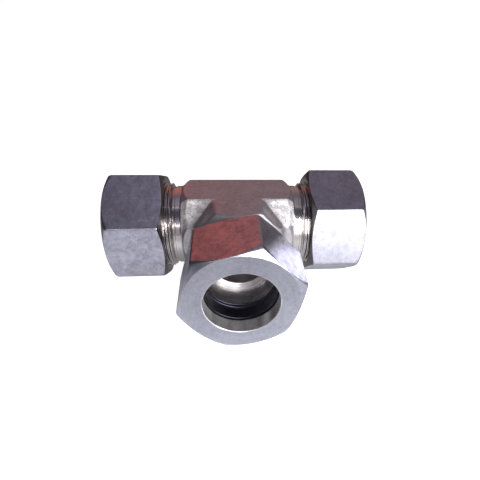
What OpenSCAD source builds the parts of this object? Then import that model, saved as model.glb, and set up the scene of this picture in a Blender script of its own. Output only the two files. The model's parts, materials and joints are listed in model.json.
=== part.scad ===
// Equal tee compression fitting with three union nuts and three cutting rings.
// The port axes cross at the origin: the run lies along X, the branch points to -Y, and +Z is up.
// Every port is drawn along +X, as distances from the crossing, and is then turned to its place.

/* [Tube] */
// Outer diameter of the tube that each port takes
tube_d = 38; // [37.8:0.1:38.2]
// Radial clearance between the tube and its socket
tube_clearance = 0.15; // [0.1:0.05:0.25]
// Diameter of the flow passage
flow_d = 32; // [28:0.5:34]

/* [Body] */
// Height and depth of the forged block
block_size = 50; // [48:0.5:52]
// Width of the flat on top of each arm of the block
block_flat = 26.2; // [22:0.2:30]
// Distance from the crossing to where the block's turned end meets the neck
block_reach = 33.3; // [32:0.1:34.5]
// Diameter of the turned neck behind the thread
neck_d = 48.2; // [47:0.1:48.6]
// Distance from the crossing to the end of each arm
arm_reach = 57; // [56:0.2:58]
// Distance from the crossing to the shoulder that stops the tube
stop_reach = 41; // [38:0.2:43]
// Diameter of the cone's mouth
mouth_d = 41; // [40.8:0.1:41.4]
// Half of the cone's included angle, in degrees
cone_angle = 12; // [11:0.5:13]

/* [Thread] */
// Outside diameter of the thread
thread_d = 52; // [51.6:0.1:52]
// Pitch of the thread
pitch = 2; // [1.5:0.5:2]
// Distance from the crossing to the thread's first ridge
thread_start = 38.5; // [37.5:0.5:40]
// Radial clearance between the body's ridges and the nut's bore
thread_clearance = 0.1; // [0.05:0.05:0.2]

/* [Nut] */
// Width of the nut across its flats
nut_flats = 60; // [58:0.5:62]
// Length of the nut
nut_length = 33; // [32:0.5:34]
// Distance from the crossing to the nut's outer face, with the nut finger tight
nut_reach = 76.3; // [76:0.1:77]
// Diameter of the hole that the tube passes
nut_hole_d = 39; // [38.6:0.1:39.4]
// Length of that hole
nut_land = 8.1; // [7:0.1:8.4]
// Turn of the left nut about its axis, in degrees
left_turn = -2.4; // [-60:0.1:60]
// Turn of the right nut about its axis, in degrees
right_turn = -13.6; // [-60:0.1:60]
// Turn of the branch nut about its axis, in degrees
branch_turn = -16; // [-60:0.1:60]

/* [Cutting ring] */
// Length of the ring
ring_length = 11.5; // [11:0.1:12]
// Largest diameter of the ring, at its collar
ring_collar_d = 46; // [45:0.2:48]
// Diameter of the ring's outer end
ring_tail_d = 41.6; // [41:0.1:42.4]
// Gap between the ring and the nut's inner cone
ring_gap = 0.1; // [0.05:0.05:0.2]

/* [Hidden] */
$fn = 96;

forged = [0.62, 0.59, 0.58];
satin = [0.66, 0.67, 0.71];
dark_steel = [0.2, 0.2, 0.22];

left = 180;
right = 0;
branch = -90;

socket_r = tube_d / 2 + tube_clearance;
flow_r = flow_d / 2;
neck_r = neck_d / 2;
mouth_r = mouth_d / 2;
cone_depth = (mouth_r - socket_r) / tan(cone_angle);

// ISO metric profile: the ridges stand 0.6134 of the pitch above the root
crest_r = thread_d / 2;
root_r = crest_r - 0.6134 * pitch;
crest_flat = pitch / 8;
flank = 0.6134 * pitch * tan(30);
ridge_count = floor((arm_reach - thread_start - 0.5) / pitch);
end_chamfer = 1.8;

// The block's section is a square whose corners are cut at 45 degrees
block_across_corners = (block_size + block_flat) / sqrt(2);
block_root = 10;
// The turned cone at each arm's end loses 1 mm of radius for each 1 mm along the arm
cone_tip = block_reach + neck_r;

nut_rear = nut_reach - nut_length;
nut_thread_r = crest_r + thread_clearance;
nut_face_r = nut_flats / 2 - 0.3;
nut_rear_r = nut_flats / 2 - 0.2;
nut_corner_r = nut_flats / sqrt(3) + 1;
face_chamfer = 30;
rear_chamfer = 24;
nut_hole_r = nut_hole_d / 2;
land_end = nut_reach - nut_land;
hole_chamfer = 0.5;
thread_mouth = 0.8;

// The nut's inner cone and the ring's tail bevel both stand at 45 degrees
ring_tail_r = ring_tail_d / 2;
ring_tail = land_end + nut_hole_r - ring_tail_r - ring_gap * sqrt(2);
ring_front = ring_tail - ring_length;
ring_collar_r = ring_collar_d / 2;
ring_collar_l = 3.2;
ring_neck_r = 21.6;
ring_cone_gap = 0.12;

// Radius of the body's cone at a distance from the crossing
function cone_r(reach) = mouth_r - (arm_reach - reach) * tan(cone_angle);

// Outline of one thread ridge, as radius and distance
function ridge(start) = [
  [root_r, start],
  [crest_r, start + flank],
  [crest_r, start + flank + crest_flat],
  [root_r, start + 2 * flank + crest_flat]
];

// Turns a shape drawn along +X to its port
module at_port(heading) {
  rotate([0, 0, heading]) children();
}

// Revolves an outline of [radius, distance] points about X
module turned(outline) {
  rotate([90, 0, 90]) rotate_extrude() polygon(outline);
}

// One arm of the block: the cut-cornered bar, with its end turned to a cone
module block_arm() {
  intersection() {
    translate([-block_root, -block_size / 2, -block_size / 2])
      cube([block_root + block_reach, block_size, block_size]);
    rotate([45, 0, 0])
      translate([-block_root, -block_across_corners / 2, -block_across_corners / 2])
        cube([block_root + block_reach, block_across_corners, block_across_corners]);
    turned([[0, -block_root], [cone_tip, -block_root], [cone_tip, 0], [0, cone_tip]]);
  }
}

// The neck and the threaded end of one arm
module spigot() {
  ridges = [for (i = [0:ridge_count - 1]) each ridge(thread_start + i * pitch)];
  intersection() {
    turned(concat(
      [[0, 0], [neck_r, 0], [neck_r, thread_start - 0.6], [root_r, thread_start - 0.6]],
      ridges,
      [[root_r, arm_reach], [0, arm_reach]]
    ));
    turned([
      [0, 0], [crest_r + 1, 0], [crest_r + 1, arm_reach - end_chamfer - 1],
      [crest_r - end_chamfer, arm_reach], [0, arm_reach]
    ]);
  }
}

// The hollow of one arm: flow passage, tube socket and cone
module port_hollow() {
  turned([
    [0, 0], [flow_r, 0], [flow_r, stop_reach], [socket_r, stop_reach],
    [socket_r, arm_reach - cone_depth], [mouth_r, arm_reach],
    [mouth_r, arm_reach + 1], [0, arm_reach + 1]
  ]);
}

module tee_body() {
  color(forged) difference() {
    union() {
      for (heading = [left, right, branch]) at_port(heading) {
        block_arm();
        spigot();
      }
    }
    for (heading = [left, right, branch]) at_port(heading) port_hollow();
  }
}

// A union nut: hexagon, chamfered ends, hole for the tube, inner cone and threaded bore
module union_nut(turn) {
  corner_rise = nut_corner_r - nut_face_r;
  rear_rise = nut_corner_r - nut_rear_r;
  difference() {
    intersection() {
      rotate([turn, 0, 0]) translate([nut_rear, 0, 0]) rotate([0, 90, 0])
        cylinder(h = nut_length, r = nut_flats / sqrt(3), $fn = 6);
      turned([
        [0, nut_rear], [nut_rear_r, nut_rear],
        [nut_corner_r, nut_rear + rear_rise * tan(rear_chamfer)],
        [nut_corner_r, nut_reach - corner_rise * tan(face_chamfer)],
        [nut_face_r, nut_reach], [0, nut_reach]
      ]);
    }
    turned([
      [0, nut_rear - 1], [nut_thread_r + thread_mouth, nut_rear - 1],
      [nut_thread_r + thread_mouth, nut_rear], [nut_thread_r, nut_rear + thread_mouth],
      [nut_thread_r, land_end - (nut_thread_r - nut_hole_r)], [nut_hole_r, land_end],
      [nut_hole_r, nut_reach - hole_chamfer], [nut_hole_r + hole_chamfer, nut_reach],
      [nut_hole_r + hole_chamfer, nut_reach + 1], [0, nut_reach + 1]
    ]);
  }
}

// A cutting ring: its thin front sits in the body's cone, its bevelled tail in the nut's
module cutting_ring() {
  tail_bevel = ring_collar_r - ring_tail_r;
  neck_step = ring_collar_r - ring_neck_r;
  collar_front = ring_tail - tail_bevel - ring_collar_l;
  difference() {
    turned([
      [0, ring_front], [cone_r(ring_front) - ring_cone_gap, ring_front],
      [cone_r(arm_reach + 1) - ring_cone_gap, arm_reach + 1],
      [ring_neck_r, collar_front - neck_step], [ring_collar_r, collar_front],
      [ring_collar_r, ring_tail - tail_bevel], [ring_tail_r, ring_tail], [0, ring_tail]
    ]);
    translate([ring_front - 1, 0, 0]) rotate([0, 90, 0])
      cylinder(h = ring_length + 2, r = socket_r);
  }
}

module nut_left() {
  color(satin) at_port(left) union_nut(left_turn);
}

module nut_right() {
  color(satin) at_port(right) union_nut(right_turn);
}

module nut_branch() {
  color(satin) at_port(branch) union_nut(branch_turn);
}

module cutting_ring_left() {
  color(dark_steel) at_port(left) cutting_ring();
}

module cutting_ring_right() {
  color(dark_steel) at_port(right) cutting_ring();
}

module cutting_ring_branch() {
  color(dark_steel) at_port(branch) cutting_ring();
}

tee_body();
nut_left();
nut_right();
nut_branch();
cutting_ring_left();
cutting_ring_right();
cutting_ring_branch();
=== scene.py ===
import json
import math

import bmesh
import bpy
import numpy as np
from mathutils import Matrix, Vector


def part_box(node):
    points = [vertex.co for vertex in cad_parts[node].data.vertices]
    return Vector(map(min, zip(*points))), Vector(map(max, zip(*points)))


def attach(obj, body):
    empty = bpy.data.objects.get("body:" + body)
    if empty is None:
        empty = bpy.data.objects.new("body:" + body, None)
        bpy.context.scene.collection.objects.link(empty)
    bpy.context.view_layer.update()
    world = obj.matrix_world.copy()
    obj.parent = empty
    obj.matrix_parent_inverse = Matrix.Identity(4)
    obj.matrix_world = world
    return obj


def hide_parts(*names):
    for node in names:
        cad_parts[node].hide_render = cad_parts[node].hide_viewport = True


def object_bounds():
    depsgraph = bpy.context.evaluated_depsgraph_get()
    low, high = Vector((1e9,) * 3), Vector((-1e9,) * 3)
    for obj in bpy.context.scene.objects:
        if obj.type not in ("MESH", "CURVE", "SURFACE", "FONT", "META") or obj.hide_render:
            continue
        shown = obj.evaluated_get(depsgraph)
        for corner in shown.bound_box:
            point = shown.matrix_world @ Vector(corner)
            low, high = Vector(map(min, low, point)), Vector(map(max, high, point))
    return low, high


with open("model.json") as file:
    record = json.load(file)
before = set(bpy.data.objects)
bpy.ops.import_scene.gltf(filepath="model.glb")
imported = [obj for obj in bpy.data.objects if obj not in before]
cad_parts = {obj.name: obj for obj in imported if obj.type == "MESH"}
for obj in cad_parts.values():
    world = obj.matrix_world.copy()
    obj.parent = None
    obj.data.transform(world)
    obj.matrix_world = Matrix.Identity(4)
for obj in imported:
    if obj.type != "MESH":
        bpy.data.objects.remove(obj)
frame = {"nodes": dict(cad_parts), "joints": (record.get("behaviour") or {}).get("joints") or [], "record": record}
cadBox = [list(corner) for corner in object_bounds()]
mounts = {mount["name"]: mount for mount in frame["record"]["mounts"]}
print("frame loaded:", ", ".join(sorted(frame["nodes"])))

mm = 0.001  # shapes are worked out in millimetres, and made in metres
fullTurn = 2 * math.pi


# camera

camera = {
    "place": (-5.29, -214.37, 132.66),  # mm from the crossing of the ports
    "azimuth": 7.8,
    "elevation": 37.76,
    "roll": 3.37,
    "lens": 28.72,
    "shift": (-0.0661, 0.0516),
}


# forward = (sin az cos el, cos az cos el, -sin el); right and up are then turned about it by the roll
def makeCamera():
    azimuth, elevation, roll = (math.radians(camera[key]) for key in ("azimuth", "elevation", "roll"))
    forward = Vector((math.sin(azimuth) * math.cos(elevation), math.cos(azimuth) * math.cos(elevation),
                      -math.sin(elevation)))
    level = Vector((math.cos(azimuth), -math.sin(azimuth), 0))
    upright = level.cross(forward)
    right = level * math.cos(roll) + upright * math.sin(roll)
    up = upright * math.cos(roll) - level * math.sin(roll)
    data = bpy.data.cameras.new("productCamera")
    data.lens = camera["lens"]
    data.shift_x, data.shift_y = camera["shift"]
    data.clip_start, data.clip_end = 0.01, 20
    holder = bpy.data.objects.new("productCamera", data)
    turn = Matrix((right, up, -forward)).transposed().to_4x4()
    holder.matrix_world = Matrix.Translation(Vector(camera["place"]) * mm) @ turn
    bpy.context.scene.collection.objects.link(holder)
    bpy.context.scene.camera = holder


makeCamera()
print("camera placed")


# node helpers

# Sets a socket to a constant, or links another node's output to it
def feed(tree, socket, value):
    if isinstance(value, bpy.types.NodeSocket):
        tree.links.new(value, socket)
    elif value is not None:
        socket.default_value = value


# Makes a node, sets its settings and feeds its inputs by name or number
def addNode(tree, kind, inputs=None, **settings):
    made = tree.nodes.new(kind)
    for key, value in settings.items():
        setattr(made, key, value)
    for key, value in (inputs or {}).items():
        feed(tree, made.inputs[key], value)
    return made


# One Math node: its operation on up to three values
def sums(tree, operation, first, second=0.5, third=0.0):
    return addNode(tree, "ShaderNodeMath", {0: first, 1: second, 2: third}, operation=operation).outputs[0]


# Straight line from (fromLow, toLow) to (fromHigh, toHigh), held at both ends
def remap(tree, value, fromLow, fromHigh, toLow=0.0, toHigh=1.0):
    inputs = {"Value": value, "From Min": fromLow, "From Max": fromHigh, "To Min": toLow, "To Max": toHigh}
    return addNode(tree, "ShaderNodeMapRange", inputs).outputs["Result"]


# Noise in space, about 0.5
def noise(tree, vector, scale, detail=2.0, rough=0.5):
    inputs = {"Vector": vector, "Scale": scale, "Detail": detail, "Roughness": rough}
    return addNode(tree, "ShaderNodeTexNoise", inputs).outputs[0]


# Noise along one number
def lineNoise(tree, place, detail=2.0):
    inputs = {"W": place, "Scale": 1.0, "Detail": detail, "Roughness": 0.6}
    return addNode(tree, "ShaderNodeTexNoise", inputs, noise_dimensions="1D").outputs[0]


# first * (1 - factor) + second * factor
def mixColour(tree, factor, first, second, blend="MIX"):
    made = addNode(tree, "ShaderNodeMix", data_type="RGBA", blend_type=blend)
    for socket, value in ((made.inputs[0], factor), (made.inputs[6], first), (made.inputs[7], second)):
        feed(tree, socket, value)
    return made.outputs[2]


# Starts a node group with named sockets: gives the tree, its inputs and the node that its outputs go to
def startGroup(name, inputs, outputs):
    tree = bpy.data.node_groups.new(name, "ShaderNodeTree")
    for label, value in inputs.items():
        kind = "NodeSocketVector" if value is None else "NodeSocketFloat"
        socket = tree.interface.new_socket(name=label, in_out="INPUT", socket_type=kind)
        if value is not None:
            socket.default_value = value
    for label in outputs:
        tree.interface.new_socket(name=label, in_out="OUTPUT", socket_type="NodeSocketFloat")
    return tree, tree.nodes.new("NodeGroupInput").outputs, tree.nodes.new("NodeGroupOutput").inputs


# Places a node group with its own values
def useGroup(tree, group, inputs):
    made = addNode(tree, "ShaderNodeGroup", node_tree=group)
    for key, value in inputs.items():
        feed(tree, made.inputs[key], value)
    return made.outputs


# shared effects

effects = {
    "coarseShare": 0.28,  # scale of the coarse grain, as a share of the fine
    "mottleWeight": 0.3,
    "wideLines": 1.1,
    "wearBreaks": 900.0,  # scale of the noise that breaks the worn edges up
    "wearSpread": 1.2,
    "wearLimits": (0.35, 1.0),
    "scratchTurns": (0.6, 2.1),
    "scratchStretch": (40.0, 2600.0, 2600.0),
    "scratchLimits": (0.69, 0.78),
    "scratchDepth": 0.002,
    "smudgeScale": 55.0,
    "smudgeLimits": (0.4, 0.65),
    "wornPolish": 0.35,  # how far a worn edge is smoother than the rest
}


# Fine grain and slow mottling: height = mean of two fine noises, shade = that mixed with a slow noise
def makeSteelGrain():
    tree, given, result = startGroup("steelGrain", {"Vector": None, "Grain": 2500.0, "Mottle": 90.0},
                                     ["Shade", "Height"])
    fine = noise(tree, given["Vector"], given["Grain"], 3.0, 0.6)
    coarse = noise(tree, given["Vector"], sums(tree, "MULTIPLY", given["Grain"], effects["coarseShare"]), 2.0)
    height = sums(tree, "MULTIPLY_ADD", coarse, 0.5, sums(tree, "MULTIPLY", fine, 0.5))
    slow = noise(tree, given["Vector"], given["Mottle"], 3.0, 0.6)
    feed(tree, result["Height"], height)
    quick = sums(tree, "MULTIPLY", height, 1 - effects["mottleWeight"])
    feed(tree, result["Shade"], sums(tree, "MULTIPLY_ADD", slow, effects["mottleWeight"], quick))
    return tree


# Turning lines: noise along the outline only, so that each line runs right round the axis
def makeTurningLines():
    tree, given, result = startGroup("turningLines", {"Lathe": 0.0, "Lines": 8.0}, ["Shade", "Height"])
    fine = lineNoise(tree, sums(tree, "MULTIPLY", given["Lathe"], given["Lines"]), 3.0)
    wide = lineNoise(tree, sums(tree, "MULTIPLY", given["Lathe"], effects["wideLines"]), 1.0)
    feed(tree, result["Height"], fine)
    feed(tree, result["Shade"], sums(tree, "MULTIPLY_ADD", wide, 0.5, sums(tree, "MULTIPLY", fine, 0.5)))
    return tree


# Worn edges: where the surface bends sharply outwards, broken up by noise
def makeWornEdges():
    tree, given, result = startGroup("wornEdges", {"Vector": None, "Wear": 0.0, "Sharpness": 0.6}, ["Mask"])
    breaks = noise(tree, given["Vector"], effects["wearBreaks"], 3.0, 0.6)
    limit = sums(tree, "MULTIPLY_ADD", breaks, effects["wearSpread"], given["Sharpness"])
    mask = remap(tree, sums(tree, "DIVIDE", given["Wear"], limit), *effects["wearLimits"])
    feed(tree, result["Mask"], mask)
    return tree


# Handling: short fine scratches in two directions and soft smudges
def makeHandling():
    tree, given, result = startGroup("handling", {"Vector": None, "Amount": 1.0}, ["Scratches", "Smudges"])
    marks = []
    for turn in effects["scratchTurns"]:
        inputs = {"Vector": given["Vector"], "Rotation": (turn, 0.4 * turn, turn),
                  "Scale": effects["scratchStretch"]}
        place = addNode(tree, "ShaderNodeMapping", inputs).outputs[0]
        marks.append(remap(tree, noise(tree, place, 1.0, 1.0), *effects["scratchLimits"]))
    both = sums(tree, "MAXIMUM", marks[0], marks[1])
    feed(tree, result["Scratches"], sums(tree, "MULTIPLY", both, given["Amount"]))
    smudges = noise(tree, given["Vector"], effects["smudgeScale"], 2.0)
    feed(tree, result["Smudges"], remap(tree, smudges, *effects["smudgeLimits"]))
    return tree


steelGrain, turningLines = makeSteelGrain(), makeTurningLines()
wornEdges, handling = makeWornEdges(), makeHandling()


# One steel finish: dark and light are the two ends of its shade, lines how deep the turning lines are in mm
def makeSteel(name, look):
    material = bpy.data.materials.new(name)
    material.use_nodes = True
    tree = material.node_tree
    tree.nodes.clear()
    place = addNode(tree, "ShaderNodeTexCoord").outputs["Object"]
    lathe = addNode(tree, "ShaderNodeAttribute", attribute_name="lathe").outputs["Fac"]
    wear = addNode(tree, "ShaderNodeAttribute", attribute_name="wear").outputs["Fac"]
    grain = useGroup(tree, steelGrain, {"Vector": place, "Grain": look["grain"], "Mottle": look["mottle"]})
    lines = useGroup(tree, turningLines, {"Lathe": lathe, "Lines": look["linesPerMm"]})
    edges = useGroup(tree, wornEdges, {"Vector": place, "Wear": wear, "Sharpness": look["edgeSharpness"]})
    marks = useGroup(tree, handling, {"Vector": place, "Amount": look["scratches"]})
    blend = sums(tree, "MULTIPLY_ADD", lines["Shade"], look["lineShare"],
                 sums(tree, "MULTIPLY", grain["Shade"], 1 - look["lineShare"]))
    # painted highlight: axial streaks added to the shade that sets colour and roughness
    streak = addNode(tree, "ShaderNodeAttribute", attribute_name="streak").outputs["Fac"]
    blend = sums(tree, "MULTIPLY_ADD", streak, look.get("streaks", 0.0), blend)
    shade = remap(tree, blend, 0.5 - look["spread"], 0.5 + look["spread"])
    colour = mixColour(tree, shade, look["dark"], look["light"])
    colour = mixColour(tree, sums(tree, "MULTIPLY", marks["Scratches"], 0.5), colour, look["edge"])
    colour = mixColour(tree, sums(tree, "MULTIPLY", edges["Mask"], look["edgeShare"]), colour, look["edge"])
    roughest, smoothest = look["rough"] + look["roughSpread"], look["rough"] - look["roughSpread"]
    rough = remap(tree, shade, 0.0, 1.0, roughest, smoothest)
    rough = sums(tree, "MULTIPLY_ADD", marks["Smudges"], look["smudge"], rough)
    rough = sums(tree, "MULTIPLY_ADD", edges["Mask"], -effects["wornPolish"] * look["rough"], rough)
    height = sums(tree, "MULTIPLY_ADD", grain["Height"], look["grainDepth"],
                  sums(tree, "MULTIPLY", lines["Height"], look["lineDepth"]))
    height = sums(tree, "MULTIPLY_ADD", marks["Scratches"], -effects["scratchDepth"], height)
    bump = addNode(tree, "ShaderNodeBump", {"Height": height, "Distance": mm, "Strength": 1.0}).outputs[0]
    shader = addNode(tree, "ShaderNodeBsdfPrincipled",
                     {"Base Color": colour, "Roughness": rough, "Metallic": 1.0, "Normal": bump})
    output = addNode(tree, "ShaderNodeOutputMaterial", {"Surface": shader.outputs[0]})
    output.is_active_output = True
    return material


# Depths are in millimetres; grain and mottle are in ridges per metre
finishes = {
    "forging": dict(dark=(0.36, 0.35, 0.37, 1), light=(0.56, 0.54, 0.575, 1), edge=(0.78, 0.76, 0.76, 1),
                    grain=1900.0, mottle=110.0, spread=0.14, rough=0.48, roughSpread=0.05, smudge=0.04,
                    grainDepth=0.02, lineDepth=0.0, linesPerMm=4.0, lineShare=0.0, scratches=0.5,
                    edgeSharpness=0.35, edgeShare=0.3),
    # A lighter, rougher copy of the forging for the run's sloping facets: the rough grain is the finish, the
    # lightness is painted light so they read as lit; the branch's facets keep the plain forging and stay dark
    "blasted": dict(dark=(0.5, 0.48, 0.49, 1), light=(0.94, 0.92, 0.93, 1), edge=(0.9, 0.88, 0.88, 1),
                    grain=1100.0, mottle=240.0, spread=0.07, rough=0.66, roughSpread=0.06, smudge=0.04,
                    grainDepth=0.04, lineDepth=0.0, linesPerMm=4.0, lineShare=0.0, scratches=0.3,
                    edgeSharpness=0.5, edgeShare=0.2),
    "turned": dict(dark=(0.44, 0.41, 0.405, 1), light=(0.64, 0.61, 0.605, 1), edge=(0.8, 0.78, 0.78, 1),
                   grain=3200.0, mottle=140.0, spread=0.2, rough=0.14, roughSpread=0.03, smudge=0.03,
                   grainDepth=0.001, lineDepth=0.003, linesPerMm=4.0, lineShare=0.75, scratches=0.6,
                   edgeSharpness=0.9, edgeShare=0.4),
    # Socket bore: lighter than the turned finish, painted light for the shaded socket, with painted highlight
    # streaks
    "bore": dict(dark=(0.4, 0.385, 0.39, 1), light=(0.72, 0.705, 0.71, 1), edge=(0.88, 0.87, 0.87, 1),
                 grain=3200.0, mottle=140.0, spread=0.17, rough=0.3, roughSpread=0.05, smudge=0.04,
                 grainDepth=0.002, lineDepth=0.012, linesPerMm=2.2, lineShare=0.8, scratches=0.3,
                 edgeSharpness=1.2, edgeShare=0.3, streaks=0.1),
    "passage": dict(dark=(0.48, 0.455, 0.475, 1), light=(0.7, 0.675, 0.71, 1), edge=(0.7, 0.68, 0.67, 1),
                    grain=1500.0, mottle=120.0, spread=0.18, rough=0.4, roughSpread=0.05, smudge=0.05,
                    grainDepth=0.004, lineDepth=0.012, linesPerMm=2.4, lineShare=0.5, scratches=0.0,
                    edgeSharpness=0.9, edgeShare=0.5),
    "nutFlats": dict(dark=(0.3, 0.3, 0.36, 1), light=(0.47, 0.47, 0.55, 1), edge=(0.7, 0.7, 0.74, 1),
                     grain=1300.0, mottle=110.0, spread=0.09, rough=0.31, roughSpread=0.05, smudge=0.04,
                     grainDepth=0.012, lineDepth=0.0, linesPerMm=4.0, lineShare=0.0, scratches=0.7,
                     edgeSharpness=1.3, edgeShare=0.25),
    "nutFace": dict(dark=(0.32, 0.33, 0.385, 1), light=(0.46, 0.47, 0.54, 1), edge=(0.58, 0.58, 0.63, 1),
                    grain=1500.0, mottle=110.0, spread=0.1, rough=0.3, roughSpread=0.04, smudge=0.04,
                    grainDepth=0.006, lineDepth=0.002, linesPerMm=4.5, lineShare=0.3, scratches=0.5,
                    edgeSharpness=1.6, edgeShare=0.2),
    # Rear face and rear bevel of the nuts: painted shade, a near-black copy of the nut's steel
    "nutRear": dict(dark=(0.09, 0.078, 0.08, 1), light=(0.19, 0.17, 0.175, 1), edge=(0.4, 0.38, 0.38, 1),
                    grain=2400.0, mottle=120.0, spread=0.16, rough=0.33, roughSpread=0.04, smudge=0.04,
                    grainDepth=0.004, lineDepth=0.003, linesPerMm=4.0, lineShare=0.5, scratches=0.4,
                    edgeSharpness=1.4, edgeShare=0.3),
    # Hole, land and inner cone of the nuts: painted light, a near-white copy of the steel that reads as lit inside
    # the nut, with painted highlight streaks
    "nutHole": dict(dark=(0.36, 0.33, 0.34, 1), light=(0.96, 0.95, 0.98, 1), edge=(0.86, 0.86, 0.88, 1),
                    grain=3200.0, mottle=220.0, spread=0.16, rough=0.5, roughSpread=0.1, smudge=0.06,
                    grainDepth=0.003, lineDepth=0.002, linesPerMm=4.0, lineShare=0.3, scratches=0.3,
                    edgeSharpness=1.8, edgeShare=0.2, streaks=0.22),
    "nutThread": dict(dark=(0.36, 0.35, 0.37, 1), light=(0.52, 0.51, 0.53, 1), edge=(0.7, 0.7, 0.72, 1),
                      grain=3000.0, mottle=120.0, spread=0.2, rough=0.26, roughSpread=0.04, smudge=0.03,
                      grainDepth=0.001, lineDepth=0.004, linesPerMm=5.0, lineShare=0.6, scratches=0.0,
                      edgeSharpness=0.9, edgeShare=0.4),
    # Cutting rings: coloured near-black
    "hardRing": dict(dark=(0.034, 0.035, 0.052, 1), light=(0.068, 0.07, 0.1, 1), edge=(0.1, 0.1, 0.12, 1),
                     grain=1700.0, mottle=160.0, spread=0.16, rough=0.36, roughSpread=0.05, smudge=0.05,
                     grainDepth=0.004, lineDepth=0.001, linesPerMm=3.0, lineShare=0.3, scratches=1.0,
                     edgeSharpness=1.4, edgeShare=0.2),
}
steel = {name: makeSteel(name, look) for name, look in finishes.items()}
print("finishes made:", ", ".join(steel))


# port frames

# Each port has its own frame: distance along its axis from the crossing, radius, and angle about the axis.
# Angle 0 points to side = up x outward, and a quarter turn points up.
def portFrames():
    up = np.array((0.0, 0.0, 1.0))
    found = {}
    for joint in frame["joints"]:
        if joint["type"] == "hinge":
            outward = np.array(joint["axis"], float)
            found[joint["child"].replace("nut_", "")] = {
                "outward": outward, "side": np.cross(up, outward), "up": up}
    return found


# place = along * outward + radius * (cos angle * side + sin angle * up)
def onPort(port, along, radius, angle):
    along, radius, angle = np.broadcast_arrays(along, radius, angle)
    across = radius * np.cos(angle)
    rise = radius * np.sin(angle)
    outward, side, up = (port[key] for key in ("outward", "side", "up"))
    return along[..., None] * outward + across[..., None] * side + rise[..., None] * up


ports = portFrames()
nutLow, nutHigh = (corner.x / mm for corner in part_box("nut_right"))
ringLow, ringHigh = (corner.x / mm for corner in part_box("cutting_ring_right"))
socket = mounts["tube_socket_right"]
socketMiddle, socketLength = socket["pos_m"][0] / mm, socket["dims"]["length_mm"]
coupling = frame["record"]["behaviour"]["couplings"][0]

thread = {
    "pitch": coupling["ratio"] * fullTurn / mm,
    "crest": 26.0,
    "crestFlat": 0.25,
    "depth": 1.227,
    "flankGap": 0.25,  # how far the nut's flanks stand off the body's
    "crestGap": 0.12,
    "rootGap": 0.18,  # between the nut's crests and the root of the body's thread
    "firstRidge": 0.9,  # where on the axis a ridge would cross angle 0, if the helix went on
}


# helpers for surfaces

# min(a, b) less (reach - |a - b|)^2 / (4 reach) where the two are closer than reach: a rounded inner corner
def softMin(a, b, reach):
    closeness = np.maximum(reach - np.abs(a - b), 0)
    return np.minimum(a, b) - closeness ** 2 / (4 * reach)


# The same for the larger of two: -softMin(-a, -b)
def softMax(a, b, reach):
    return -softMin(-a, -b, reach)


# Rows between breaks, each a number or one value per column: every stretch is cut into equal steps
def spreadRows(breaks, counts):
    breaks = np.broadcast_arrays(*breaks)
    rows = [breaks[0][None]]
    for start, stop, count in zip(breaks[:-1], breaks[1:], counts):
        rows.append(start + (stop - start) * (np.arange(1, count + 1) / count)[:, None])
    return np.concatenate(rows)


# An outline of (along, radius) corners, each a number or one value per column. Every inner corner becomes the
# curve (1-t)^2 A + 2t(1-t) corner + t^2 B, where A and B lie trim before and after it, with a guard point
# further out on both sides. Wider trims may be given for some corners, as numbers or one value per column.
# Gives along, radius and the stretch that each row starts.
def roundedOutline(corners, columns, trim=0.2, guard=0.7, steps=3, wider=None):
    points = np.stack([[np.broadcast_to(value, columns) for value in corner] for corner in corners])
    runs = points[1:] - points[:-1]
    lengths = np.linalg.norm(runs, axis=1)
    headings = runs / np.maximum(lengths, 1e-9)[:, None]
    rows, stretches = [points[0]], [0]
    t = np.linspace(0, 1, steps)[:, None, None]
    for i in range(1, len(corners) - 1):
        wide = (wider or {}).get(i, trim)
        clear = wide + guard - trim
        cut = np.minimum(wide, 0.38 * np.minimum(lengths[i - 1], lengths[i]))
        before, after = np.minimum(clear, 0.45 * lengths[i - 1]), np.minimum(clear, 0.45 * lengths[i])
        start, stop = points[i] - headings[i - 1] * cut, points[i] + headings[i] * cut
        curve = (1 - t) ** 2 * start + 2 * t * (1 - t) * points[i] + t ** 2 * stop
        rows += [points[i] - headings[i - 1] * before, *curve, points[i] + headings[i] * after]
        stretches += [i - 1] * (1 + steps // 2) + [i] * (steps - steps // 2 + 1)
    rows.append(points[-1])
    outline = np.stack(rows)
    return outline[:, 0], outline[:, 1], np.array(stretches)


# A grid of points on a port's surface. lathe = along - 0.7 radius, which changes along every turned outline.
# streak = the mean of three sine waves of the angle: painted highlight, the axial streaks of a turned surface's
# highlights put into its colour.
def sheet(port, along, radius, angle, zone=0, flipped=False):
    along, radius, angle = np.broadcast_arrays(along, radius, angle)
    lathe = along - 0.7 * radius
    zone = np.asarray(zone)
    byCell = zone if zone.ndim == 2 else zone.reshape(-1, 1)
    zones = np.broadcast_to(byCell, (len(along) - 1, along.shape[1] - 1))
    waves = sum(np.sin(count * angle + phase) for count, phase in ((4, 0.7), (9, 2.1), (14, 0.4)))
    points = onPort(port, along, radius, angle)
    return {"points": points, "lathe": lathe, "streak": waves / 3, "zones": zones, "flipped": flipped}


meshing = {"mergeWithin": 0.002, "sharpAbove": 38, "wearCap": 3}


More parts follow.
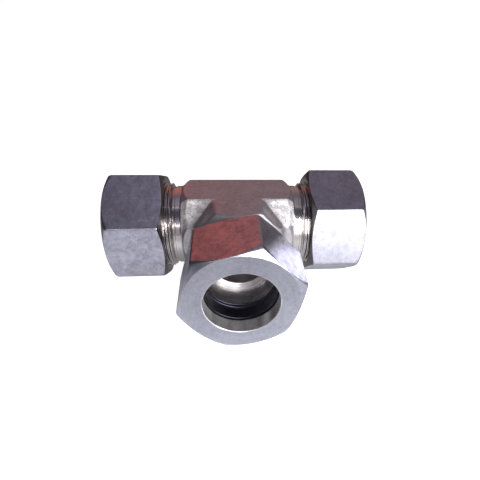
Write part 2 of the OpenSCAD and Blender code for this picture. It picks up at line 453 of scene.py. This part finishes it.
# Joins sheets into one closed mesh: a quad for each cell of each grid, doubles merged where sheets meet
def makePiece(name, sheets, zoneFinishes, body, node):
    quads, zones, count = [], [], 0
    for one in sheets:
        rows, columns = one["points"].shape[:2]
        corner = count + np.arange(rows)[:-1, None] * columns + np.arange(columns)[None, :-1]
        cell = np.stack([corner, corner + 1, corner + columns + 1, corner + columns], axis=-1)
        quads.append((cell[..., ::-1] if one["flipped"] else cell).reshape(-1, 4))
        zones.append(one["zones"].reshape(-1))
        count += rows * columns
    mesh = bpy.data.meshes.new(name)
    points = np.concatenate([one["points"].reshape(-1, 3) for one in sheets]) * mm
    mesh.from_pydata(points.tolist(), [], np.concatenate(quads).tolist())
    mesh.polygons.foreach_set("material_index", np.concatenate(zones).astype(np.int32))
    for label in ("lathe", "streak"):
        values = np.concatenate([one[label].reshape(-1) for one in sheets]).astype(np.float32)
        mesh.attributes.new(label, "FLOAT", "POINT").data.foreach_set("value", values)
    work = bmesh.new()
    work.from_mesh(mesh)
    bmesh.ops.remove_doubles(work, verts=work.verts, dist=meshing["mergeWithin"] * mm)
    openEdges = sum(not edge.is_manifold for edge in work.edges)
    work.to_mesh(mesh)
    work.free()
    markWear(mesh)
    mesh.shade_smooth()
    mesh.set_sharp_from_angle(angle=math.radians(meshing["sharpAbove"]))
    piece = bpy.data.objects.new(name, mesh)
    bpy.context.scene.collection.objects.link(piece)
    for finish in zoneFinishes:
        mesh.materials.append(steel[finish])
    flats = piece.modifiers.new("flatShading", "WEIGHTED_NORMAL")
    flats.keep_sharp = True
    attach(piece, body)
    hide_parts(node)
    print(name, "has", len(mesh.polygons), "faces and", openEdges, "open edges")
    return piece


# wear = the most that the surface bends outwards along a point's edges: change of normal . change of place,
# over length squared, in 1/mm
def markWear(mesh):
    places = np.empty(len(mesh.vertices) * 3, np.float32)
    mesh.vertices.foreach_get("co", places)
    normals = np.empty_like(places)
    mesh.vertex_normals.foreach_get("vector", normals)
    ends = np.empty(len(mesh.edges) * 2, np.int32)
    mesh.edges.foreach_get("vertices", ends)
    places, normals, ends = places.reshape(-1, 3) / mm, normals.reshape(-1, 3), ends.reshape(-1, 2)
    step = places[ends[:, 1]] - places[ends[:, 0]]
    turn = normals[ends[:, 1]] - normals[ends[:, 0]]
    bend = (step * turn).sum(axis=1) / np.maximum((step ** 2).sum(axis=1), 1e-4)
    wear = np.zeros(len(places), np.float32)
    for end in (0, 1):
        np.maximum.at(wear, ends[:, end], bend.astype(np.float32))
    wear = np.clip(wear, 0, meshing["wearCap"])
    mesh.attributes.new("wear", "FLOAT", "POINT").data.foreach_set("value", wear)


# Distance along the axis from the middle of the nearest thread ridge
def fromRidge(along, angle):
    turns = (along - thread["firstRidge"]) / thread["pitch"] - angle / fullTurn
    return np.abs(turns - np.round(turns)) * thread["pitch"]


# Three grids that follow the helix and tile the band from start to start + pitch * (turns + 1): a wedge that
# opens from the straight start, the turns themselves, and a wedge that closes on the straight end. Each turn
# has rows along the ridge's corners, and fill even ones more.
def helixGrids(angle, start, turns, fill=1):
    pitch = thread["pitch"]
    part = (angle - angle[0]) / fullTurn
    flat = thread["crestFlat"] / 2 / pitch
    root = flat + thread["depth"] / math.sqrt(3) / pitch
    shape = np.array([0, flat, (flat + root) / 2, root, 0.5])
    offset = (start - thread["firstRidge"]) / pitch - angle[0] / fullTurn
    corners = np.mod(np.concatenate([shape, -shape]) - offset, 1)
    steps = np.unique(np.round(np.concatenate([np.arange(fill + 1) / fill, corners]), 6))
    whole = np.unique(np.round(np.add.outer(np.arange(turns), steps), 6))[:, None]
    end = start + pitch * (turns + 1)
    last = start + pitch * (part + turns)
    return [start + pitch * part * steps[:, None], start + pitch * (part + whole),
            last + (end - last) * steps[:, None]]


# tee body

teeBody = {
    "armReach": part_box("tee_body")[1].x / mm,
    "blockHalf": mounts["block_flat_top"]["pos_m"][2] / mm,
    "flatHalf": 13.1,  # half the width of the flats on each arm
    "blockReach": 33.3,  # where the turned end of the block meets the neck
    "neck": 24.1,
    "groove": (36.7, 38.2),  # the plain relief between neck and thread
    "grooveDepth": 0.5,
    "threadStart": 37.0,  # the helical grids begin inside the relief
    "threadVisible": 43.0,  # and are finer up to here
    "endChamfer": 1.8,
    "mouth": 20.5,
    "socket": socket["dims"]["r_mm"],
    "coneStart": socketMiddle + socketLength / 2,
    "stop": socketMiddle - socketLength / 2,
    "flow": 16.0,
    "reliefSlope": 1.7,  # mm of radius for each mm along, at both sides of the relief
    "reliefRound": 0.2,
    "coneRound": 0.7,  # where the turned end cuts the block
    "neckRound": 0.9,
    "edgeRound": 1.3,
    "valleyRound": 6.5,
    "farthest": 45.0,  # beyond the block's longest radius
}


# Below 0 inside the block. An arm's bar is max(|w| - half, (|w| + |z|) / root 2 - corner). The run's w is y.
# The branch's is x, and it stops at y = 0. They meet in a soft valley, cut at the top and bottom flats.
def blockField(place):
    across, ahead, rise = np.abs(place[..., 0]), place[..., 1], np.abs(place[..., 2])
    half, edge = teeBody["blockHalf"], teeBody["edgeRound"]
    corner = (half + teeBody["flatHalf"]) / math.sqrt(2)
    run = softMax(np.abs(ahead) - half, (np.abs(ahead) + rise) / math.sqrt(2) - corner, edge)
    branch = softMax(across - half, (across + rise) / math.sqrt(2) - corner, edge)
    branch = np.maximum(branch, ahead)
    return softMax(rise - half, softMin(run, branch, teeBody["valleyRound"]), edge)


# Radius at which the block's field is 0, by halving; along = base + slope * radius
def blockRadius(port, angle, base, slope, limit):
    low = np.full(np.broadcast(angle, base, limit).shape, 10.0)
    high = np.broadcast_to(limit, low.shape).copy()
    for _ in range(42):
        middle = (low + high) / 2
        inside = blockField(onPort(port, base + slope * middle, middle, angle)) < 0
        low, high = np.where(inside, middle, low), np.where(inside, high, middle)
    return (low + high) / 2


# Columns, close together at the block's eight long edges
def bodyAngles():
    edge = math.degrees(math.atan2(teeBody["flatHalf"], teeBody["blockHalf"]))
    wide, near = 3.9, np.arange(-3.6, 3.61, 0.9)
    eighth = [np.arange(0, edge - 4, wide), edge + near, np.arange(edge + 7, 45, wide), [45.0]]
    eighth = np.concatenate(eighth)
    quarter = np.unique(np.round(np.concatenate([eighth, 90 - eighth]), 5))
    turns = np.concatenate([quarter[:-1] + 90 * step for step in range(4)] + [[360.0]])
    return np.radians(turns)


# From the middle of the tee outwards: block, turned end, neck, relief, thread, end face, cone, socket, stop
# and passage. Columns on the side of a neighbouring port start on the mitre plane, where along = |across|,
# and the others at 0. The sloping facets on the run's arms get a lighter, rougher copy of the forging: painted
# light.
def bodyArm(port):
    angle = bodyAngles()
    toNeighbour = np.zeros(len(angle), bool)
    for other in ports.values():
        toNeighbour |= (other["outward"] @ port["side"]) * np.cos(angle) > 1e-6
    slope = np.where(toNeighbour, np.abs(np.cos(angle)), 0)
    farthest, reach, neck = teeBody["farthest"], teeBody["blockReach"], teeBody["neck"]
    start = slope * blockRadius(port, angle, 0, slope, farthest)
    tip = reach + neck
    edge = tip - blockRadius(port, angle, reach - 3.0, 0, farthest)
    nearEdge = 0.9
    short = np.minimum(nearEdge, 0.45 * (reach - edge))
    grooveStart, grooveEnd = teeBody["groove"]
    breaks = [start, start + np.minimum(3.2, 0.5 * (edge - start)), edge - nearEdge, edge + short,
              reach - short, reach + nearEdge, grooveStart - 0.6, grooveStart, teeBody["threadStart"]]
    counts = [8, 3, 6, 2, 6, 1, 3, 2]
    along = spreadRows(breaks, counts)
    limit = np.minimum(farthest, along / np.maximum(slope, 1e-6))
    limit = np.where(slope > 0, limit, farthest)
    radius = blockRadius(port, angle, along, 0, np.maximum(limit, 11.0))
    radius = softMax(softMin(radius, tip - along, teeBody["coneRound"]), neck, teeBody["neckRound"])
    relief = neck - teeBody["grooveDepth"]
    drop = relief + (grooveStart - along) * teeBody["reliefSlope"] + teeBody["grooveDepth"]
    radius = softMin(radius, np.maximum(drop, relief), teeBody["reliefRound"])
    turned = np.arange(sum(counts)) >= sum(counts[:4]) + 3
    middle = np.mod((angle[1:] + angle[:-1]) / 2, math.pi / 2)
    flatEdge = math.atan2(teeBody["flatHalf"], teeBody["blockHalf"])
    onRun = abs(port["outward"][0]) > 0.5
    # zone 4: the run's sloping facets take the lighter forging copy, painted light
    facet = np.where((middle > flatEdge) & (middle < math.pi / 2 - flatEdge) & onRun, 4, 0)
    sheets = [sheet(port, along, radius, angle, np.where(turned[:, None], 1, facet[None]))]

    fineTurns = round((teeBody["threadVisible"] - teeBody["threadStart"]) / thread["pitch"]) - 1
    turns = round((teeBody["armReach"] - teeBody["threadVisible"]) / thread["pitch"]) - 1
    grids = helixGrids(angle, teeBody["threadStart"], fineTurns, 10)
    for grid in grids + helixGrids(angle, teeBody["threadVisible"], turns):
        ridge = thread["crest"] - (fromRidge(grid, angle) - thread["crestFlat"] / 2) * math.sqrt(3)
        ridge = np.clip(ridge, thread["crest"] - thread["depth"], thread["crest"])
        rise = np.maximum(relief, relief + (grid - grooveEnd) * teeBody["reliefSlope"])
        fall = thread["crest"] - teeBody["endChamfer"] + teeBody["armReach"] - grid
        sheets.append(sheet(port, grid, np.minimum(np.minimum(ridge, rise), fall), angle, 1))

    passageStart = slope * teeBody["flow"]
    corners = [(teeBody["armReach"], thread["crest"] - teeBody["endChamfer"]),
               (teeBody["armReach"], teeBody["mouth"]),
               (teeBody["coneStart"], teeBody["socket"]), (teeBody["stop"], teeBody["socket"]),
               (teeBody["stop"], teeBody["flow"]), (passageStart, teeBody["flow"])]
    along, radius, stretch = roundedOutline(corners, len(angle), trim=0.25, guard=0.6)
    sheets.append(sheet(port, along, radius, angle, np.array([1, 2, 2, 2, 3])[stretch]))
    return sheets


makePiece("teeForging", [one for port in ports.values() for one in bodyArm(port)],
          ["forging", "turned", "bore", "passage", "blasted"], "tee", "tee_body")


# union nuts

unionNut = {
    "rear": nutLow,
    "face": nutHigh,
    "halfFlats": 30.0,
    "cornerRound": 1.6,
    "cornerBlend": 2.2,  # how much wider the face bevel's edge is rounded at the hexagon's corners
    "faceCircle": 29.7,
    "rearCircle": 29.8,
    "faceBevel": 30,
    "rearBevel": 24,
    "hole": 19.5,
    "holeBevel": 0.35,
    "land": 8.1,
    "relief": 2.3,  # length of the plain groove between thread and inner cone
    "mouthBevel": 0.8,
    "runOutSlope": 0.7,
    "turn": {"left": -2.4, "right": -13.6, "branch": -16.0},  # degrees from one corner up
}


# Polar radius of a hexagon with rounded corners: an arc within a small angle of each corner, and elsewhere
# half the flats / cos(angle from the flat's middle)
def hexRadius(fromCorner):
    half, corner = unionNut["halfFlats"], unionNut["cornerRound"]
    centre = (half - corner) / math.cos(math.pi / 6)
    inArc = np.abs(fromCorner) < cornerArc()
    beside = np.maximum(corner ** 2 - (centre * np.sin(fromCorner)) ** 2, 0)
    arc = centre * np.cos(fromCorner) + np.sqrt(beside)
    return np.where(inArc, arc, half / np.cos(math.pi / 6 - np.abs(fromCorner)))


# Half the angle that a corner's arc takes, seen from the nut's axis
def cornerArc():
    corner = unionNut["cornerRound"]
    centre = (unionNut["halfFlats"] - corner) / math.cos(math.pi / 6)
    return math.atan2(corner / 2, centre + corner * math.cos(math.pi / 6))


# Face, hole, inner cone, relief, thread and rear face: one closed outline for each column of the hexagon
def nutSheets(port, turn):
    arc = cornerArc()
    onCorner = arc * np.array([0, 0.35, 0.7, 1.0, 1.9])
    halfSector = np.concatenate([onCorner, np.radians([4, 8, 12, 16, 20, 25, 30])])
    sector = np.concatenate([halfSector, -halfSector[1:-1][::-1] + math.radians(60)])
    fromCorner = np.where(sector > math.radians(30), sector - math.radians(60), sector)
    angle = np.concatenate([sector + math.radians(60) * step for step in range(6)] + [[fullTurn]])
    rim = hexRadius(np.concatenate([np.tile(fromCorner, 6), [0]]))
    angle = angle + math.radians(90 + turn)

    threadHole = thread["crest"] + thread["crestGap"]
    landEnd = unionNut["face"] - unionNut["land"]
    coneFoot = landEnd - (threadHole - unionNut["hole"])
    faceSlope, rearSlope = (math.tan(math.radians(unionNut[key])) for key in ("faceBevel", "rearBevel"))
    faceEdge = unionNut["face"] - (rim - unionNut["faceCircle"]) * faceSlope
    rearEdge = unionNut["rear"] + (rim - unionNut["rearCircle"]) * rearSlope
    threadTurns = round((coneFoot - unionNut["relief"] - unionNut["rear"]) / thread["pitch"]) - 1
    threadEnd = unionNut["rear"] + thread["pitch"] * (threadTurns + 1)
    corners = [(unionNut["rear"], threadHole + unionNut["mouthBevel"]),
               (unionNut["rear"], unionNut["rearCircle"]),
               (rearEdge, rim), (faceEdge, rim), (unionNut["face"], unionNut["faceCircle"]),
               (unionNut["face"], unionNut["hole"] + unionNut["holeBevel"]),
               (unionNut["face"] - unionNut["holeBevel"], unionNut["hole"]), (landEnd, unionNut["hole"]),
               (coneFoot, threadHole), (threadEnd, threadHole)]
    toCorner = np.clip((rim - unionNut["halfFlats"]) / (rim.max() - unionNut["halfFlats"]), 0, 1) ** 2
    wider = {3: 0.35 + unionNut["cornerBlend"] * toCorner}
    along, radius, stretch = roundedOutline(corners, len(angle), trim=0.35, guard=0.8, steps=7, wider=wider)
    # zone 4, rear face and bevel, takes the painted-shade finish; zone 2, hole, land and inner cone, the
    # painted-light one
    zones = np.array([4, 4, 0, 1, 1, 2, 2, 2, 3])
    sheets = [sheet(port, along, radius, angle, zones[stretch])]

    for grid in helixGrids(angle, unionNut["rear"], threadTurns):
        groove = thread["crest"] + thread["flankGap"]
        groove = groove - (fromRidge(grid, angle) - thread["crestFlat"] / 2) * math.sqrt(3)
        groove = np.clip(groove, thread["crest"] - thread["depth"] + thread["rootGap"], threadHole)
        mouth = threadHole + unionNut["mouthBevel"] - (grid - unionNut["rear"])
        runOut = threadHole - (threadEnd - grid) * unionNut["runOutSlope"]
        radius = np.maximum(np.maximum(groove, mouth), runOut)
        sheets.append(sheet(port, grid, radius, angle, 3, flipped=True))
    return sheets


for label, port in ports.items():
    nut = "nut_" + label
    makePiece("unionNut" + label.capitalize(), nutSheets(port, unionNut["turn"][label]),
              ["nutFlats", "nutFace", "nutHole", "nutThread", "nutRear"], nut, nut)


# cutting rings

cuttingRing = {
    "front": ringLow,
    "tail": ringHigh,
    "collar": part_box("cutting_ring_right")[1].z / mm,
    "collarLength": 3.2,
    "tailRadius": 20.8,
    "neck": 21.6,
    "coneGap": 0.12,
    "bore": teeBody["socket"],
    "frontEdge": 0.3,  # thickness of the front edge
    "endBreak": 0.15,
    # grooves behind the two cutting edges: from the front, where each starts and ends
    "bites": [(2.7, 4.2), (0.6, 1.8)],
    "biteRamp": 0.3,
    "biteGroove": 0.35,
    "columns": 120,
}


# Outer wedge, neck, collar and tail bevel, then the bore with its cutting edges and the grooves behind them
def ringSheets(port):
    one = cuttingRing
    front, tail, bore, collar, neck = (one[key] for key in ("front", "tail", "bore", "collar", "neck"))
    angle = np.linspace(0, fullTurn, one["columns"] + 1)
    reach = teeBody["armReach"]
    slope = (teeBody["mouth"] - teeBody["socket"]) / (reach - teeBody["coneStart"])
    wedge = teeBody["mouth"] - one["coneGap"]
    bevel = collar - one["tailRadius"]
    collarFront = tail - bevel - one["collarLength"]
    groove, ramp = bore + one["biteGroove"], one["biteRamp"]
    corners = [(front, bore + one["frontEdge"]), (front, wedge - slope * (reach - front)),
               (reach + 1, wedge + slope), (collarFront - (collar - neck), neck), (collarFront, collar),
               (tail - bevel, collar), (tail, one["tailRadius"]), (tail, bore + one["endBreak"]),
               (tail - one["endBreak"], bore)]
    for low, high in one["bites"]:
        corners += [(front + high, bore), (front + high - ramp, groove),
                    (front + low + ramp, groove), (front + low, bore)]
    corners += [(front + one["endBreak"], bore), (front, bore + one["frontEdge"])]
    along, radius, _ = roundedOutline(corners, len(angle), trim=0.18, guard=0.5)
    return [sheet(port, along, radius, angle, 0)]


for label, port in ports.items():
    makePiece("cuttingRing" + label.capitalize(), ringSheets(port), ["hardRing"], "ring_" + label,
              "cutting_ring_" + label)


# floor and light

studio = {
    "floorRadius": 12.0,
    "floorSpokes": 96,
    "floorColour": (0.86, 0.86, 0.88, 1),
    "floorGlow": 0.5,  # the floor's own light, as the steel sees it
    "backdropGlow": 0.85,  # and as it looks behind the piece
    "tableColour": (0.16, 0.11, 0.1, 1),  # what the steel sees beyond the pale floor's back edge
    "tableEdge": (0.04, 0.3),  # distances past the piece at which it turns dark, toward the back left
    "tableHeading": (-0.6, 0.8, 0.0),
    "paleColour": (0.56, 0.56, 0.59, 1),  # the pale floor as the steel sees it
    "fadeReach": 0.2,  # in m
    # painted shadow: how its brightness, as the steel sees it, changes from front to back, lowest under and just
    # behind the piece: (y in m, share)
    "floorShares": [(-0.16, 0.55), (-0.09, 1.0), (-0.06, 1.0), (-0.015, 0.55), (0.04, 0.3), (0.1, 0.5)],
    # stops of the room's colour by height, from the horizon at 0 to straight up at 1
    "roomTurn": (-0.2, 0.2),  # where the front of the room passes into the back
    "roomFront": [(0.0, (0.4, 0.39, 0.42)), (0.3, (0.5, 0.49, 0.52)), (0.45, (0.7, 0.69, 0.73)),
                  (0.62, (0.4, 0.4, 0.44)), (0.78, (0.1, 0.1, 0.13)), (0.93, (0.1, 0.1, 0.13)),
                  (1.0, (0.4, 0.35, 0.43))],
    "roomBack": [(0.0, (0.34, 0.26, 0.25)), (0.3, (0.38, 0.25, 0.24)), (0.5, (0.38, 0.25, 0.25)),
                 (0.72, (0.27, 0.21, 0.23)), (0.86, (0.19, 0.17, 0.21)), (1.0, (0.4, 0.35, 0.43))],
    # patches of the room: direction, cosines at which a patch starts and is full, and its colour
    "patches": [((-0.42, 0.78, 0.46), (0.9, 0.985), (0.74, 0.185, 0.15, 1)),
                ((-0.72, 0.68, -0.05), (0.8, 0.95), (0.025, 0.02, 0.03, 1)),
                ((-1.0, -0.1, 0.1), (0.3, 0.6), (0.04, 0.036, 0.05, 1)),
                ((1.0, 0.1, 0.1), (0.55, 0.88), (0.05, 0.045, 0.05, 1))],
    # name: (azimuth from -Y toward +X, elevation, distance in m, width, height, brightness, colour)
    "panels": {
        "frontWindow": (30, 20, 0.62, 0.6, 0.44, 8.5, (1.0, 0.99, 0.98)),
        "leftCard": (-24, 28, 0.9, 0.45, 0.12, 2.0, (1.0, 0.98, 0.97)),
        "overheadStrip": (0, 80, 0.8, 0.6, 0.014, 1.4, (1.0, 1.0, 1.0)),
    },
}


# Floor: its own glow keeps it white behind the piece; in the steel, its back turns into a darker table, and a
# painted shadow dims it under the piece
def makeFloor():
    low = cadBox[0][2]
    spokes = studio["floorSpokes"]
    angle = np.linspace(0, fullTurn, spokes + 1)[:-1]
    radius = np.array([0.02, 0.2, 1.0])[:, None] * studio["floorRadius"]
    rings = np.stack([radius * np.cos(angle), radius * np.sin(angle), np.full((3, spokes), low)], axis=-1)
    points = np.concatenate([[[0, 0, low]], rings.reshape(-1, 3)])
    each = np.arange(spokes)
    after = (each + 1) % spokes
    faces = np.stack([0 * each, 1 + each, 1 + after], axis=-1).tolist()
    for inner in (1, 1 + spokes):
        outer = inner + spokes
        faces += np.stack([inner + each, outer + each, outer + after, inner + after], axis=-1).tolist()
    mesh = bpy.data.meshes.new("studioFloor")
    mesh.from_pydata(points.tolist(), [], faces)
    floor = bpy.data.objects.new("studioFloor", mesh)
    bpy.context.scene.collection.objects.link(floor)
    material = bpy.data.materials.new("studioFloor")
    material.use_nodes = True
    tree = material.node_tree
    shader = tree.nodes["Principled BSDF"]
    shader.inputs["Roughness"].default_value = 0.9
    shader.inputs["Emission Strength"].default_value = 1.0
    place = addNode(tree, "ShaderNodeTexCoord").outputs["Object"]
    back = addNode(tree, "ShaderNodeVectorMath", {0: place, 1: studio["tableHeading"]},
                   operation="DOT_PRODUCT").outputs["Value"]
    seen = addNode(tree, "ShaderNodeLightPath").outputs["Is Camera Ray"]
    table = sums(tree, "MULTIPLY", remap(tree, back, *studio["tableEdge"]), sums(tree, "SUBTRACT", 1.0, seen))
    pale = mixColour(tree, seen, studio["paleColour"], studio["floorColour"])
    front = addNode(tree, "ShaderNodeSeparateXYZ", {"Vector": place}).outputs["Y"]
    fade = studio["fadeReach"]
    stops = [((y + fade) / (2 * fade), (share, share, share)) for y, share in studio["floorShares"]]
    # painted shadow: the floor dimmed under the piece, only as the steel sees it
    floorShadow = heightRamp(tree, remap(tree, front, -fade, fade), stops)
    shown = sums(tree, "MAXIMUM", floorShadow, seen)
    pale = mixColour(tree, shown, (0, 0, 0, 1), pale)
    feed(tree, shader.inputs["Base Color"], mixColour(tree, table, pale, studio["tableColour"]))
    glow = sums(tree, "MULTIPLY", shown, remap(tree, seen, 0, 1, studio["floorGlow"], studio["backdropGlow"]))
    glow = sums(tree, "MULTIPLY", glow, sums(tree, "SUBTRACT", 1.0, table))
    feed(tree, shader.inputs["Emission Color"], mixColour(tree, glow, (0, 0, 0, 1), (1, 1, 1, 1)))
    mesh.materials.append(material)


# Panels that face the crossing from their azimuth, elevation and distance; energy = brightness * pi * area
def makeLights():
    for name, (azimuth, elevation, distance, width, height, brightness, colour) in studio["panels"].items():
        azimuth, elevation = math.radians(azimuth), math.radians(elevation)
        away = Vector((math.sin(azimuth) * math.cos(elevation), -math.cos(azimuth) * math.cos(elevation),
                       math.sin(elevation)))
        data = bpy.data.lights.new(name, "AREA")
        data.shape = "RECTANGLE"
        data.size, data.size_y = width, height
        data.energy = brightness * math.pi * width * height
        data.color = colour
        panel = bpy.data.objects.new(name, data)
        turn = away.to_track_quat("Z", "Y").to_matrix().to_4x4()
        panel.matrix_world = Matrix.Translation(away * distance) @ turn
        bpy.context.scene.collection.objects.link(panel)


# A colour ramp with one stop for each (position, colour)
def heightRamp(tree, height, stops):
    ramp = addNode(tree, "ShaderNodeValToRGB", {"Fac": height})
    elements = ramp.color_ramp.elements
    while len(elements) < len(stops):
        elements.new(0.5)
    for element, (position, colour) in zip(elements, stops):
        element.position = position
        element.color = (*colour, 1)
    return ramp.outputs["Color"]


# The room in the steel: a bright band in front, dim above and at the sides, brown behind with a red patch
def makeRoom():
    world = bpy.data.worlds.new("studioRoom")
    world.use_nodes = True
    bpy.context.scene.world = world
    tree = world.node_tree
    tree.nodes.clear()
    direction = addNode(tree, "ShaderNodeTexCoord").outputs["Generated"]
    parts = addNode(tree, "ShaderNodeSeparateXYZ", {"Vector": direction}).outputs
    front = heightRamp(tree, parts["Z"], studio["roomFront"])
    back = heightRamp(tree, parts["Z"], studio["roomBack"])
    colour = mixColour(tree, remap(tree, parts["Y"], *studio["roomTurn"]), front, back)
    for heading, reach, shade in studio["patches"]:
        facing = addNode(tree, "ShaderNodeVectorMath", {0: direction, 1: Vector(heading).normalized()},
                         operation="DOT_PRODUCT").outputs["Value"]
        colour = mixColour(tree, remap(tree, facing, *reach), colour, shade)
    seen = addNode(tree, "ShaderNodeLightPath").outputs["Is Camera Ray"]
    background = addNode(tree, "ShaderNodeBackground", {"Color": mixColour(tree, seen, colour, (1, 1, 1, 1))})
    addNode(tree, "ShaderNodeOutputWorld", {"Surface": background.outputs[0]})


makeFloor()
makeLights()
makeRoom()
bpy.context.scene.view_settings.view_transform = "Standard"
print("floor, lights and room made")
